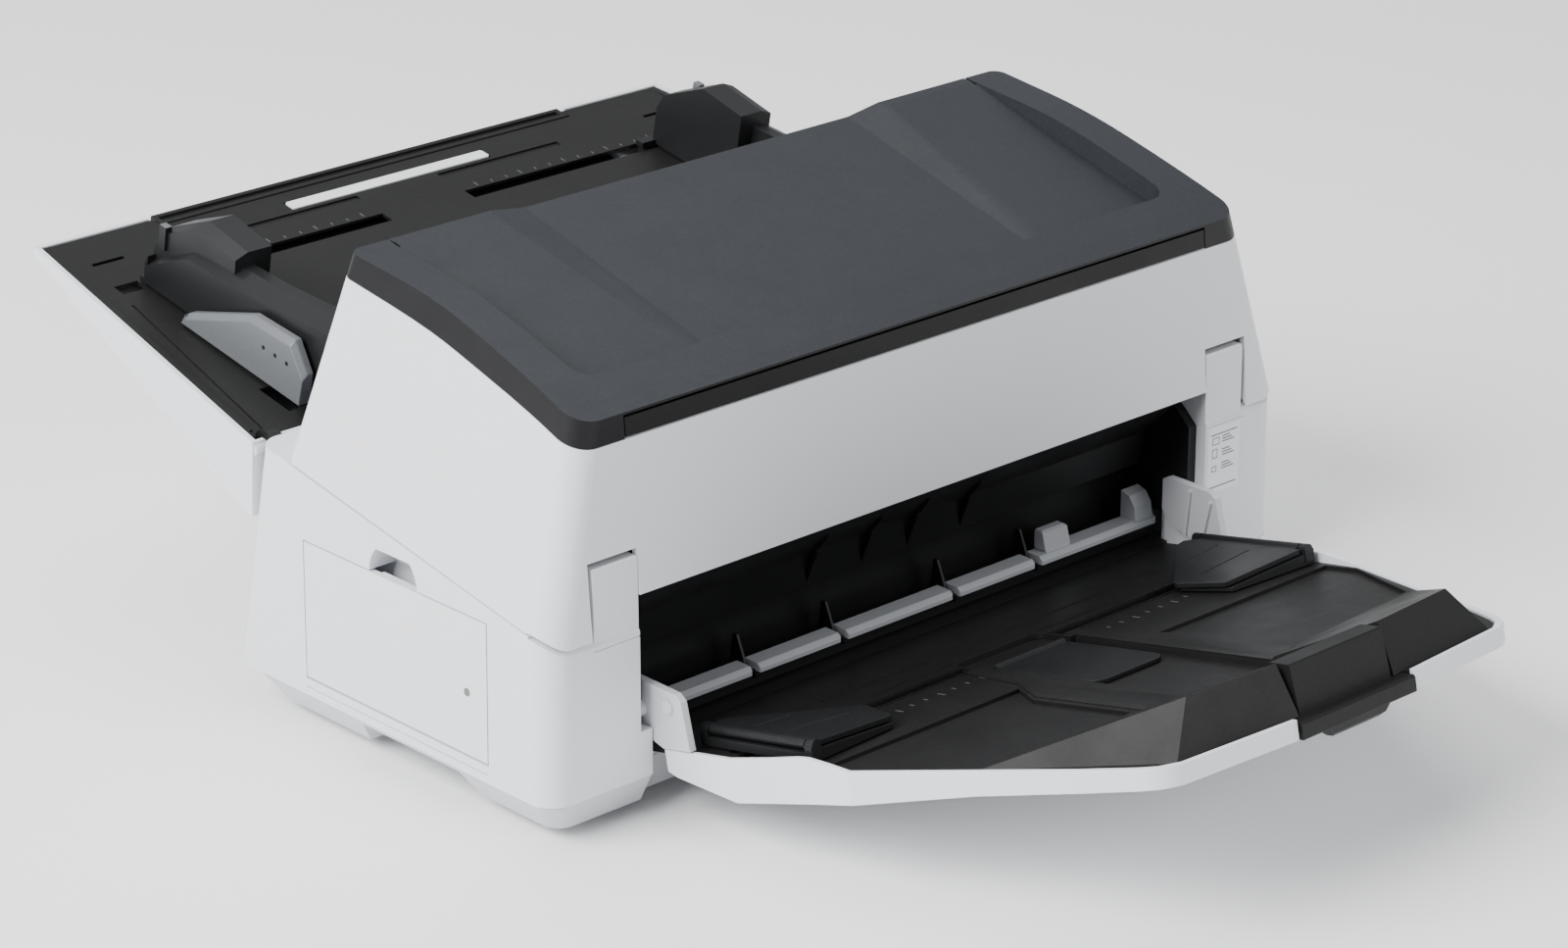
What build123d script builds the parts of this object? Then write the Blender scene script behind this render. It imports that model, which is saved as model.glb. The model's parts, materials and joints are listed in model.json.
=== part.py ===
"""Sheet fed document scanner built as named solids, in millimetres, +Z up, front towards -Y.

The body is drawn around a working origin under the front pillars; the last step moves every
solid so that the row origin is the bottom centre of the whole object.
"""
import os
from math import atan, cos, degrees, hypot, radians, sin
from build123d import *

os.makedirs("parts", exist_ok=True)

# ------------------------------------------------------------------ driving dimensions
BODY_HALF_WIDTH = 216.0       # widest point of the lower housing, at its bottom edge
BODY_DRAFT = 1.8              # how far each side leans in over the housing height
BODY_FRONT = -2.5             # front face of the lower housing and pillars
REAR_FOOT_Y = 205.7           # rear face at height 16.6
REAR_LEAN = 0.2               # rear face leans forward by this much per mm of height
HOUSING_BOTTOM = 19.0         # seam between housing and bottom casing
WALL = 3.0
PARTING_Z = 89.66             # height of the upper/lower parting line at y = 0
PARTING_SLOPE = 0.19
PILLAR_IN, PILLAR_OUT = 167.2, 190.6
PILLAR_TOP = 116.0
PIVOT_Y, PIVOT_Z = 10.0, 75.0  # upper unit hinge
PIVOT_R = 4.0
RUN = 0.05                    # radial running clearance
PATH_Z = 78.55                # paper path height at y = 0
PATH_ANGLE = degrees(atan(0.189))
HOPPER_Y = 196.0
HOPPER_REAR = 193.5           # hopper length along its slope
STACK_Z = 29.7
STACK_ANGLE = degrees(atan(0.22))
FOOT_HEIGHT = 5.0
DOOR_Y0, DOOR_Y1 = 35.3, 154.9
DOOR_Z0, DOOR_Z1 = 26.4, 89.0

PATH = Location((0, 0, PATH_Z), (PATH_ANGLE, 0, 0))
HOPPER = Location((0, HOPPER_Y, PATH_Z + 0.189 * HOPPER_Y), (PATH_ANGLE, 0, 0))
STACK = Location((0, 0, STACK_Z), (-STACK_ANGLE, 0, 0))
REAR = Location((0, REAR_FOOT_Y - REAR_LEAN * (60 - 16.6), 60), (degrees(atan(REAR_LEAN)), 0, 0))

parts = {}


# ------------------------------------------------------------------ small helpers
def prism(points, x0, x1):
    """Side-view polygon (y, z) pushed from x0 to x1."""
    outline = Polyline(*[(x0, y, z) for y, z in points], close=True)
    return extrude(make_face(outline), x1 - x0, dir=(1, 0, 0))


def slab(points, z0, z1):
    """Plan polygon (x, y) pushed from z0 to z1."""
    outline = Polyline(*[(x, y, z0) for x, y in points], close=True)
    return extrude(make_face(outline), z1 - z0, dir=(0, 0, 1))


def block(x0, x1, y0, y1, z0, z1):
    return Pos((x0 + x1) / 2, (y0 + y1) / 2, (z0 + z1) / 2) * Box(x1 - x0, y1 - y0, z1 - z0)


def rod(y, z, radius, x0, x1):
    return Pos((x0 + x1) / 2, y, z) * Rot(0, 90, 0) * Cylinder(radius, abs(x1 - x0))


def flip(shape):
    return mirror(shape, Plane.YZ)


def both(shape):
    return shape + flip(shape)


def at(location, shape):
    return location * shape


def parting(y):
    return PARTING_Z + PARTING_SLOPE * y


def rear_y(z):
    return REAR_FOOT_Y - REAR_LEAN * (z - 16.6)


def upright_edges(shape, x_sign=None, y_max=None, y_min=None, lean=0.9):
    """Edges that run mostly up and down, optionally filtered by where they are."""
    found = []
    for edge in shape.edges():
        a, b = edge @ 0, edge @ 1
        run = hypot(b.X - a.X, b.Y - a.Y)
        rise = abs(b.Z - a.Z)
        if rise < 1 or run > lean * rise:
            continue
        mid = edge @ 0.5
        if y_max is not None and mid.Y > y_max:
            continue
        if y_min is not None and mid.Y < y_min:
            continue
        found.append(edge)
    return found


def outer_edges(shape, min_x, **where):
    return [e for e in upright_edges(shape, **where) if abs((e @ 0.5).X) > min_x]


def bevel_cut(x_edge, dx, p, q, drop):
    """Wedge that slopes the top of a wall from drop below the line p-q at x_edge up to the line at x_edge + dx."""
    def section(point):
        v, h = point
        return [(x_edge + 1.3 * dx, v, h + 0.3 * drop), (x_edge - 0.3 * dx, v, h - 1.3 * drop),
                (x_edge - 0.3 * dx, v, h + 0.3 * drop + 8), (x_edge + 1.3 * dx, v, h + 0.3 * drop + 8)]
    return loft([make_face(Polyline(*section(p), close=True)), make_face(Polyline(*section(q), close=True))], ruled=True)


def polyhedron(points, faces):
    shell = Shell([Face(Wire.make_polygon([points[i] for i in f], close=True)) for f in faces])
    return Solid(shell)


# ------------------------------------------------------------------ lower housing
def draft_block(inset):
    low, high = BODY_HALF_WIDTH - inset, BODY_HALF_WIDTH - BODY_DRAFT - inset
    bottom = Polyline((-low, -60, 0), (low, -60, 0), (low, 260, 0), (-low, 260, 0), close=True)
    top = Polyline((-high, -60, 130), (high, -60, 130), (high, 260, 130), (-high, 260, 130), close=True)
    return loft([make_face(bottom), make_face(top)], ruled=True)


def body_profile(inset, bottom, top_gap):
    return [(BODY_FRONT + inset, bottom), (rear_y(27) - 9 - inset, bottom), (rear_y(27) - inset, 27),
            (rear_y(124.5) - inset, parting(184) - top_gap), (BODY_FRONT + inset, parting(0) - top_gap)]


arc_zone = block(-230, 230, BODY_FRONT - 20, PIVOT_Y, PIVOT_Z, 130)
outer = draft_block(0) & prism(body_profile(0, HOUSING_BOTTOM, 0.6), -230, 230)
outer = outer - (arc_zone - rod(PIVOT_Y, PIVOT_Z, 15.3, -230, 230))
outer = fillet(outer_edges(outer, 200, y_max=5, lean=0.6), 11)
outer = fillet(outer_edges(outer, 200, y_min=178, lean=0.6), 9)
cavity = draft_block(WALL) & prism(body_profile(WALL, 0, 3.6), -230, 230)
cavity = fillet(outer_edges(cavity, 200, y_max=5, lean=0.6), 8)
cavity = fillet(outer_edges(cavity, 200, y_min=175, lean=0.6), 6)
cavity = cavity - (block(-230, 230, -30, PIVOT_Y, PIVOT_Z, 130) - rod(PIVOT_Y, PIVOT_Z, 12.3, -230, 230))
base = outer - cavity
pillar = prism([(BODY_FRONT, HOUSING_BOTTOM), (22, HOUSING_BOTTOM), (22, PILLAR_TOP - 1), (19, PILLAR_TOP),
                (-0.5, PILLAR_TOP), (-1.5, PILLAR_TOP - 1.2)], PILLAR_IN, PILLAR_OUT)
returns = block(161.2, PILLAR_IN + 1, BODY_FRONT, 15, HOUSING_BOTTOM, 39.5)
door_box = block(-BODY_HALF_WIDTH + 1.5, -197, DOOR_Y0 - 3.3, DOOR_Y1 + 3.3, DOOR_Z0 - 3.4, DOOR_Z1 + 3)
notch_box = block(-BODY_HALF_WIDTH + 2.5, -199, 77, 114, DOOR_Z1, 103)
base += both(door_box & draft_block(1)) + both(notch_box & draft_block(1))
base -= block(-PILLAR_IN, PILLAR_IN, -30, 184.5, 39.5, 200)
base -= block(-PILLAR_IN, PILLAR_IN, 160, 230, 104, 200)
base += block(-PILLAR_IN - 2, PILLAR_IN + 2, 0, WALL, HOUSING_BOTTOM, 39.5)
base -= block(-161.2, 161.2, -30, 12, -5, 45)
base += both(pillar) + both(returns) + block(-162, 162, 12, 14.6, HOUSING_BOTTOM, 23.6)
# pockets that the upper unit's hinge arms swing in
base -= both(block(193.6, 207, 0.5, 39, 84, 140))
base -= both(rod(PIVOT_Y, PIVOT_Z, 10, 193.6, 207))
# door recess, finger notch and hinge pin holes
recess = block(-230, -200, DOOR_Y0, DOOR_Y1, DOOR_Z0, DOOR_Z1)
notch = Pos(-215, 95, DOOR_Z1 - 0.5) * Rot(0, 90, 0) * Cylinder(15.5, 28)
notch = notch & block(-240, -200, 60, 130, DOOR_Z1 - 1, 99.6)
hinge_holes = Pos(-213.2, (DOOR_Y0 + DOOR_Y1) / 2, 31) * Rot(90, 0, 0) * Cylinder(1.65, DOOR_Y1 - DOOR_Y0 + 5)
base -= both(recess) + both(notch) + both(hinge_holes)
# bores: upper unit pins, stacker pins, hopper ears, rear panel window
base -= both(rod(PIVOT_Y, PIVOT_Z, PIVOT_R, 180, 193.6))
base -= both(rod(6, 46, 4 + RUN, 160, 174))
ear = prism([(178, 108), (186, 110.5), (192, 110.5), (199, 117.5), (192, 124.5), (184, 122.5), (178, 121)], 199.6, 205)
ear = ear + rod(192, 117.5, 7, 199.6, 205)
base += both(ear)
base -= both(rod(192, 117.5, 3 + RUN, 198, 206))
base -= at(REAR, block(-64, 64, -12, 4, -24, 24))
# seams drawn as fine grooves
base -= both(block(PILLAR_IN - 1, PILLAR_OUT + 1, BODY_FRONT - 1, BODY_FRONT + 0.5, 81.4, 82.0))
base -= both(block(214.9, 220, DOOR_Y0, DOOR_Y1, 22.4, 22.9))
parts["base_shell"] = base

# ------------------------------------------------------------------ bottom casing and feet
def casing(inset, z0, z1):
    rear = rear_y(27) - 9
    low, high = 206 - inset, 215.4 - inset
    bottom = Polyline((-low, 5 + inset, z0), (low, 5 + inset, z0), (low, rear - 8 - inset, z0),
                      (-low, rear - 8 - inset, z0), close=True)
    top = Polyline((-high, BODY_FRONT + 0.5 + inset, z1), (high, BODY_FRONT + 0.5 + inset, z1),
                   (high, rear - 0.5 - inset, z1), (-high, rear - 0.5 - inset, z1), close=True)
    return loft([make_face(bottom), make_face(top)], ruled=True)


pan_outer = casing(0, FOOT_HEIGHT, HOUSING_BOTTOM - 0.2)
pan_outer = fillet([e for e in upright_edges(pan_outer, lean=2.0)], 10)
pan = pan_outer - casing(3, FOOT_HEIGHT + 3, HOUSING_BOTTOM + 4)
side_arch = prism([(50, 0), (57, 16.2), (120, 16.2), (127, 0)], 198, 230)
side_floor = prism([(46, 8), (53, HOUSING_BOTTOM - 0.2), (124, HOUSING_BOTTOM - 0.2), (131, 8)], 192, 214)
pan = (pan + (both(side_floor) & pan_outer)) - both(side_arch)
pan -= both(block(161.2, 230, BODY_FRONT - 9, 0, -5, 4.9))
pan -= block(-161.2, 161.2, -20, 11.8, -5, 40)
pan += block(-165, 165, 11.8, 14.8, FOOT_HEIGHT + 1, HOUSING_BOTTOM - 0.2)
foot_xy = {"foot_front_left": (-184, 26), "foot_front_right": (184, 26),
           "foot_rear_left": (-184, 160), "foot_rear_right": (184, 160)}
for name, (fx, fy) in foot_xy.items():
    pad = Pos(fx, fy, (FOOT_HEIGHT + 1) / 2) * Cylinder(9, FOOT_HEIGHT + 1)
    pan -= Pos(fx, fy, FOOT_HEIGHT) * Cylinder(9, 2.0)
    parts[name] = chamfer(pad.edges().sort_by(Axis.Z)[0], 1.2)
parts["bottom_pan"] = pan

# ------------------------------------------------------------------ lower paper guide and rollers
ROLLER_V = {"exit": 57.0, "feed": 114.0, "pick": 172.0}
ROLLER_R, SHAFT_R = 10.0, 4.0
TYRE_X = {"exit": (35, 105), "feed": (35, 105), "pick": (22, 62)}
TYRE_W = 26.0
ROLLER_H = 0.5 - ROLLER_R

guide = at(PATH, block(-162, 162, 47.5, 188, -2.6, 0))
guide += prism([(48, 87.4), (46, 87.1), (41.6, 82.6), (39.6, 76), (39.6, 27.2), (13, 25.4), (13, 24.0), (42, 24.0),
                (42, 75), (44, 80.8), (49, 85.0)], -160.8, 160.8)
cheek = prism([(3, 39.7), (3, 82), (10, parting(10) - 3), (14, parting(14) - 0.8), (183, parting(183) - 0.8), (183, 111),
               (46, 84.9), (46, 39.7)], 162, 166.8)
cheek -= rod(6, 46, 5.2, 155, 172)
guide += both(cheek)
guide += both(prism([(39.6, 39.7), (42, 39.7), (42, 76), (39.6, 76)], 160, 163))
guide -= at(PATH, block(-149.5, 149.5, 76.5, 93.5, -8, 4))
for key, v in ROLLER_V.items():
    for x in TYRE_X[key]:
        half = TYRE_W / 2 + 1.2
        guide -= both(at(PATH, block(x - half, x + half, v - 8, v + 8, -8, 4)))
for x in (33.4, 84.3):
    fin = prism([(24.6, 32.2), (30.9, 46.8), (33.2, 46.8), (36.4, 25), (30.6, 25), (30.4, 32.2)], x - 0.6, x + 0.6)
    guide += both(fin)
for x in range(-150, 151, 20):
    guide += at(PATH, block(x - 0.6, x + 0.6, 124, 160, -0.2, 0.5)) if abs(abs(x) - 105) > 15 else at(
        PATH, block(x - 0.6, x + 0.6, 126, 158, -0.2, 0.5))
parts["lower_guide"] = guide

parts["lower_sensor"] = at(PATH, block(-150, 150, 75, 95, -24, -2.9))
parts["lower_glass"] = at(PATH, block(-149, 149, 77, 93, -2.7, -0.4))


def roller(key, x_left, x_right):
    v = ROLLER_V[key]
    shape = rod(v, ROLLER_H, SHAFT_R, x_left, x_right)
    for x in TYRE_X[key]:
        for side in (-1, 1):
            shape += rod(v, ROLLER_H, ROLLER_R, side * x - TYRE_W / 2, side * x + TYRE_W / 2)
    return shape


PULLEY_R, PULLEY_X0, PULLEY_X1 = 9.0, -182.0, -176.0
for key in ROLLER_V:
    wheel = roller(key, PULLEY_X0, 173) + rod(ROLLER_V[key], ROLLER_H, PULLEY_R, PULLEY_X0, PULLEY_X1)
    wheel += rod(ROLLER_V[key], ROLLER_H, 5.6, PULLEY_X1 - 0.1, -173)
    parts[key + "_roller"] = at(PATH, wheel)

MOTOR_V, MOTOR_H = 108.0, -46.0
motor = rod(MOTOR_V, MOTOR_H, 17, -168.3, -124) - rod(MOTOR_V, MOTOR_H, 2.5 + RUN, -170, -146)
motor += rod(MOTOR_V, MOTOR_H, 12, -124.1, -118)
parts["drive_motor"] = at(PATH, motor)
pulley = rod(MOTOR_V, MOTOR_H, PULLEY_R, PULLEY_X0, PULLEY_X1) + rod(MOTOR_V, MOTOR_H, 2.5, PULLEY_X1, -148)
parts["motor_pulley"] = at(PATH, pulley)

plate_outline = [(44, -3.2), (184, -3.2), (184, -22), (134, -66), (84, -66), (44, -22)]
plate = prism(plate_outline, -170.4, -168.8)
for v in ROLLER_V.values():
    plate -= rod(v, ROLLER_H, SHAFT_R + RUN, -172, -167)
far_plate = flip(plate)
plate -= rod(MOTOR_V, MOTOR_H, 6, -172, -167)
parts["bearing_plate_left"] = at(PATH, plate)
parts["bearing_plate_right"] = at(PATH, far_plate)


def hull_loop(centres, radius, x0, x1):
    """A band round equal circles, as the hull of the circles."""
    arcs = Sketch() + [Pos(y, z) * Circle(radius) for y, z in centres]
    flat = make_hull(arcs.edges())
    return Pos(x0, 0, 0) * extrude(Plane.YZ * flat, x1 - x0, dir=(1, 0, 0))


loop = [(ROLLER_V["exit"], ROLLER_H), (ROLLER_V["pick"], ROLLER_H), (MOTOR_V, MOTOR_H)]
belt = hull_loop(loop, 10.7, -181.5, -176.5) - hull_loop(loop, 9.4, -190, -170)
parts["drive_belt"] = at(PATH, belt)

board = block(-118, 118, 62, 148, 16.5, 18.1)
for x, y, w, d, h in ((-70, 90, 34, 34, 3), (10, 100, 26, 26, 3), (70, 84, 18, 30, 12), (84, 126, 40, 16, 9),
                      (-20, 132, 60, 8, 8), (-98, 126, 14, 14, 16)):
    board += block(x - w / 2, x + w / 2, y - d / 2, y + d / 2, 18, 18 + h)
for x in (-110, 110):
    for y in (68, 142):
        board += Pos(x, y, 12.3) * Cylinder(4, 8.5)
parts["main_board"] = board

# ------------------------------------------------------------------ rear connector plate, inlet, socket, fan
panel = block(-63.6, 63.6, -3.4, -0.8, -23.6, 23.6)
panel -= block(26, 54, -10, 5, -11, 9) + block(-0, 14, -10, 5, -7, 6)
for i in range(7):
    panel -= block(-54, -18, -10, 5, -15.5 + i * 5, -13 + i * 5)
parts["rear_panel"] = at(REAR, panel)
inlet = block(26.2, 53.8, -20, -0.4, -10.8, 8.8) - block(28, 52, -17, 5, -9, 7)
inlet += block(39, 41, -17.5, -6, 0.5, 4.5) + block(32.5, 34.5, -17.5, -6, -4.5, -0.5)
inlet += block(45.5, 47.5, -17.5, -6, -4.5, -0.5)
parts["power_inlet"] = at(REAR, inlet)
socket = block(0.2, 13.8, -16, -0.4, -6.8, 5.8) - block(1.4, 12.6, -14, 5, -5.6, 4.6)
socket += block(4, 10, -14.5, -4, -2.4, 1.4)
parts["data_socket"] = at(REAR, socket)
FAN_X = -36.0
frame = block(FAN_X - 20, FAN_X + 20, -15, -3.6, -20, 20)
bore = Pos(FAN_X, -9, 0) * Rot(90, 0, 0) * Cylinder(18.6, 20)
frame = (frame - bore) + (block(FAN_X - 19, FAN_X + 19, -15, -13.6, -1.6, 1.6))
frame += Pos(FAN_X, -10, 0) * Rot(90, 0, 0) * Cylinder(1.5, 9)
parts["fan_frame"] = at(REAR, frame)
fan = Pos(FAN_X, -8.6, 0) * Rot(90, 0, 0) * Cylinder(7, 8)
for i in range(7):
    blade = Pos(11.8, 0, 0) * Rot(35, 0, 0) * Box(11.2, 1.1, 8)
    fan += Pos(FAN_X, -8.6, 0) * Rot(0, i * 360 / 7, 0) * blade
fan -= Pos(FAN_X, -10, 0) * Rot(90, 0, 0) * Cylinder(1.5 + RUN, 20)
parts["fan_rotor"] = at(REAR, fan)

# ------------------------------------------------------------------ eject strip, label, hinge pins
strip = prism([(29, 27.3), (29, 32.9), (22, 32.9), (21, 31.6), (21, 27.0)], -160, 160)
bar = [(29, 32.6), (29, 36.3), (21, 36.3), (19, 34.5), (19, 32.6)]
for x0, x1 in ((-160, -86.4), (-82.2, -35.5), (-31.3, 31.3), (35.5, 82.2), (86.4, 160)):
    piece = prism(bar, x0, x1)
    strip += fillet([e for e in upright_edges(piece) if (e @ 0.5).Y < 20], 0.9)
for x in (33.4, 84.3):
    strip -= both(block(x - 1.2, x + 1.2, 10, 35, 30.0, 60))
hump = prism([(29, 36), (21.6, 36), (24, 44.6), (25.5, 45.6), (29, 45.6)], 91.5, 107)
strip += fillet(hump.edges().filter_by(Axis.Y), 1.5)
strip += both(prism([(29, 36), (19.6, 36), (20.6, 43), (24, 47.5), (29, 49)], 147, 158))
parts["eject_strip"] = strip

parts["size_label"] = block(168.6, 189.6, BODY_FRONT - 0.35, BODY_FRONT, 49.5, 80.6)
pin = rod(PIVOT_Y, PIVOT_Z, PIVOT_R, 180, 206)
parts["pivot_pin_right"] = pin
parts["pivot_pin_left"] = flip(pin)


# ------------------------------------------------------------------ upper unit
FRONT_LOW, FRONT_HIGH = (214.6, -3.0, 90.0), (192.5, 4.0, 174.5)
REAR_LOW, REAR_HIGH = (214.4, 165.5, 121.1), (188.3, 151.6, 210.0)
RIM_TOP = [(151.6, 209.9), (129.9, 207.3), (107.5, 204.6), (88, 201.0), (64, 194.8), (45.3, 189.3), (26.5, 183.4),
           (3.4, 175.0)]
RIM_BOTTOM = [(151.6, 199.7), (133.3, 196.9), (111, 193.4), (90, 189.4), (66, 183.3), (42.5, 177), (21.5, 170.7),
              (3.0, 164.2)]


def wedge(inset, front_r, rear_r):
    """Housing body above the parting line: four leaning walls, rounded at the corners."""
    def ring(t):
        out = []
        for low, high, sign in ((FRONT_LOW, FRONT_HIGH, 1), (REAR_LOW, REAR_HIGH, -1)):
            x = low[0] + t * (high[0] - low[0]) - inset
            y = low[1] + t * (high[1] - low[1]) + sign * inset
            z = low[2] + t * (high[2] - low[2])
            out.append((x, y, z))
        (fx, fy, fz), (rx, ry, rz) = out
        return make_face(Polyline((-fx, fy, fz), (fx, fy, fz), (rx, ry, rz), (-rx, ry, rz), close=True))
    body = loft([ring(-0.2), ring(1.25)], ruled=True)
    body = fillet(outer_edges(body, 150, y_max=60), front_r)
    return fillet(outer_edges(body, 150, y_min=100), rear_r)


def under_curve(points, drop, x_half, floor):
    """Everything below a side-view curve, shifted down by drop."""
    curve = Spline(*[(-x_half, y, z - drop) for y, z in points])
    rear, front = points[0], points[-1]
    slope = (rear[1] - points[1][1]) / (rear[0] - points[1][0])
    tail = (-x_half, rear[0] + 40, rear[1] - drop + 40 * slope)
    nose_slope = (points[-2][1] - front[1]) / (points[-2][0] - front[0])
    nose = (-x_half, front[0] - 30, front[1] - drop - 30 * nose_slope)
    lines = [Line(tail, curve @ 0), curve, Line(curve @ 1, nose), Line(nose, (-x_half, nose[1], floor)),
             Line((-x_half, nose[1], floor), (-x_half, tail[1], floor)), Line((-x_half, tail[1], floor), tail)]
    return extrude(make_face(lines), 2 * x_half, dir=(1, 0, 0))


hull = wedge(0, 12, 6)
low_cut = prism([(-60, 0), (300, 0), (300, parting(300) + 0.5), (PIVOT_Y, parting(PIVOT_Y) + 0.5), (PIVOT_Y, PIVOT_Z),
                 (-60, PIVOT_Z)], -230, 230) + rod(PIVOT_Y, PIVOT_Z, 17.6, -230, 230)
upper = (hull - wedge(WALL, 9, 3)) & under_curve(RIM_BOTTOM, 0, 230, 60)
upper -= low_cut
upper -= block(-169.6, 169.6, -30, 12, 60, 99.2)
upper -= both(block(166.7, 192.6, -30, 12, 60, 119))
upper -= block(-160.6, 160.6, 140, 200, 90, 141)
arm = prism([(6.8, 78.2), (13.2, 71.8), (42, 100.6), (60, 111.5), (60, 114), (34, 114), (34, 105.4)], 196, 204)
arm = (arm + rod(PIVOT_Y, PIVOT_Z, 7.5, 196, 204)) - rod(PIVOT_Y, PIVOT_Z, PIVOT_R + RUN, 190, 210)
arm_top = prism([(34, 105.4), (60, 111.5), (60, 140), (40, 140), (34, 128)], 196, 206) & hull
upper += both(arm + arm_top)
parts["upper_shell"] = upper

# charcoal top cover: a cap with a wedge-shaped recess and a shallow centre trough
FLOOR_FRONT, FLOOR_REAR = (27.0, 174.2), (152.5, 210.9)
floor_slope = (FLOOR_REAR[1] - FLOOR_FRONT[1]) / (FLOOR_REAR[0] - FLOOR_FRONT[0])


def recess_floor(y):
    return FLOOR_FRONT[1] + floor_slope * (y - FLOOR_FRONT[0])


cap = (hull & under_curve(RIM_TOP, 0, 230, 60)) - under_curve(RIM_BOTTOM, -0.25, 230, 60)
cap += prism([(22, recess_floor(22) - 3), (148, recess_floor(148) - 7), (148, recess_floor(148) - 1),
              (22, recess_floor(22) - 1)], -173, 173)
plan = slab([(-170, 27), (170, 27), (167.5, 200), (-167.5, 200)], 150, 240)
plan = fillet(upright_edges(plan, y_max=60), 9)
cap -= plan & prism([(10, recess_floor(10)), (200, recess_floor(200)), (200, 260), (10, 260)], -200, 200)
trough_rear = 162.0
top_z = recess_floor(trough_rear)
trough = Polyline((-121, trough_rear, top_z + 0.5), (-94, trough_rear, top_z - 4.0), (94, trough_rear, top_z - 4.0),
                  (121, trough_rear, top_z + 0.5), close=True)
trough_dir = Vector(0, -1, -(floor_slope - 0.018)).normalized()
cap -= extrude(make_face(trough), 136, dir=tuple(trough_dir))
bar_zone = [(-20, 150), (-20, 190), (3.4, 174.6), (9.2, 171.2), (11, 170.4), (11, 150)]
cap -= prism(bar_zone, -168.8, 168.8)
cap -= both(block(166.8, 168.0, 144, 160, 206, 230))
parts["top_cover"] = cap

band = (hull & under_curve(RIM_TOP, 0, 230, 60)) - under_curve(RIM_BOTTOM, -0.25, 230, 60)
bar_inner = [(-20, 150), (-20, 187), (2.9, 174.1), (8.6, 169.2), (8.6, 150)]
bar_solid = band & prism(bar_inner, -168.2, 168.2)
bar_solid -= prism([(-20, 100), (20, 100), (20, 171.0), (3.0, 165.0), (-20, 157.0)], -230, 230)
parts["release_bar"] = bar_solid - prism([(5.6, 150), (10, 150), (10, 167.4), (5.6, 166.4)], -164, 164)

# black upper paper guide
UP = 1.6
ug = at(PATH, block(-160, 160, 40, 141, UP, UP + 3))
ug += prism([(29.8, 58.5), (32.4, 58.9), (38.5, 82.6), (43, 88.6), (43, 91.6), (38, 91.0), (34.5, 86.5), (27.4, 74.2)],
            -160, 160)
ug += prism([(27.4, 74.2), (30, 74.2), (34, 83.5), (7.5, 100.8), (4.6, 97.9)], -160, 160)
ug += prism([(137, 106.0), (141.5, 106.6), (160, 139.5), (157, 141.0), (150, 135)], -157.6, 157.6)
deck = prism([(47.5, parting(47.5) + 0.9), (160.5, parting(160.5) + 0.9), (160.5, parting(160.5) + 3.4),
              (47.5, parting(47.5) + 3.4)], -212, 212)
deck -= block(-158.5, 158.5, 0, 200, 60, 200)
ug += deck & wedge(3.4, 8.6, 2.6)
ug += both(prism([(43, 90), (141, 108.5), (160, 122), (160, 139), (156, 139), (136, 117), (43, 99)], 157.2, 159.8))
for x in (-46, -14, 13, 45):
    vee = Polyline((x - 4.8, 20, 74), (x + 4.8, 20, 74), (x, 20, 59.7), close=True)
    ug -= extrude(make_face(vee), 12.2, dir=(0, 1, 0))
    ug += prism([(28.5, 76.5), (27.0, 74.4), (23.4, 75.4), (17.6, 82.0), (15.9, 86.2), (17.5, 88)], x - 0.5, x + 0.5)
ug -= at(PATH, block(-149.5, 149.5, 84.5, 101.5, -2, 10))
IDLER_R, IDLER_SHAFT = 7.0, 3.0
IDLER_H = 1.3 + IDLER_R
for key in ("exit", "feed"):
    v = ROLLER_V[key]
    for x in TYRE_X[key]:
        ug -= both(at(PATH, block(x - 13, x + 13, v - 7.6, v + 7.6, -2, 10)))
    lug = block(139, 144, v - 5, v + 5, UP + 2.5, IDLER_H + 5) - rod(v, IDLER_H, IDLER_SHAFT + RUN, 130, 150)
    ug += both(at(PATH, lug))
    idler = rod(v, IDLER_H, IDLER_SHAFT, -144, 144)
    for x in TYRE_X[key]:
        for side in (-1, 1):
            idler += rod(v, IDLER_H, IDLER_R, side * x - 11.5, side * x + 11.5)
    parts[key + "_idler"] = at(PATH, idler)
parts["upper_guide"] = ug
parts["upper_glass"] = at(PATH, block(-149, 149, 85, 101, UP + 0.4, UP + 2.6))
parts["upper_sensor"] = at(PATH, block(-150, 150, 83, 103, UP + 3.2, UP + 24))

# ------------------------------------------------------------------ hopper (local: x, v along the slope, h above tray)
def hopper_half(v):
    """Outside half width of the hopper shell."""
    return 212.4 - (212.4 - 185.4) * (v + 4) / 197.5


side_profile = [(-4.6, 6.6), (HOPPER_REAR, 0.7), (HOPPER_REAR, -3.4), (0.6, -26.8), (-9.4, -26.8)]
plan_out = [(hopper_half(-12), -12), (hopper_half(HOPPER_REAR), HOPPER_REAR), (-hopper_half(HOPPER_REAR), HOPPER_REAR),
            (-hopper_half(-12), -12)]
plan_in = [(x - 2.6 * (1 if x > 0 else -1), v) for x, v in plan_out]
hs = prism(side_profile, -215, 215) & slab(plan_out, -40, 20)
inner_profile = [(-20, 20), (HOPPER_REAR - 2.4, 20), (HOPPER_REAR - 2.4, -1.8), (0.8, -24.2), (-6.6, -24.2), (-3, -10),
                 (-3, 20)]
hs -= prism(inner_profile, -215, 215) & slab(plan_in, -60, 60)
drawer = prism([(60, -18.6), (60, -12), (HOPPER_REAR, -2.8), (HOPPER_REAR, -9.6), (110, -14.6)], -127, 127)
drawer_in = prism([(40, -10), (HOPPER_REAR + 5, 3), (HOPPER_REAR + 5, -7.4), (112, -12.4), (40, -16)], -124, 124)
hs = (hs + drawer) - drawer_in
hs -= block(-124, 124, HOPPER_REAR - 8.2, HOPPER_REAR + 5, -7.4, 10)
hs -= block(-167.5, 167.5, -20, -2.4, -12, 20)
hs += both(rod(-3.58, 2.6, 3.0, 199.0, 211.4) & slab(plan_out, -60, 60))
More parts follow.
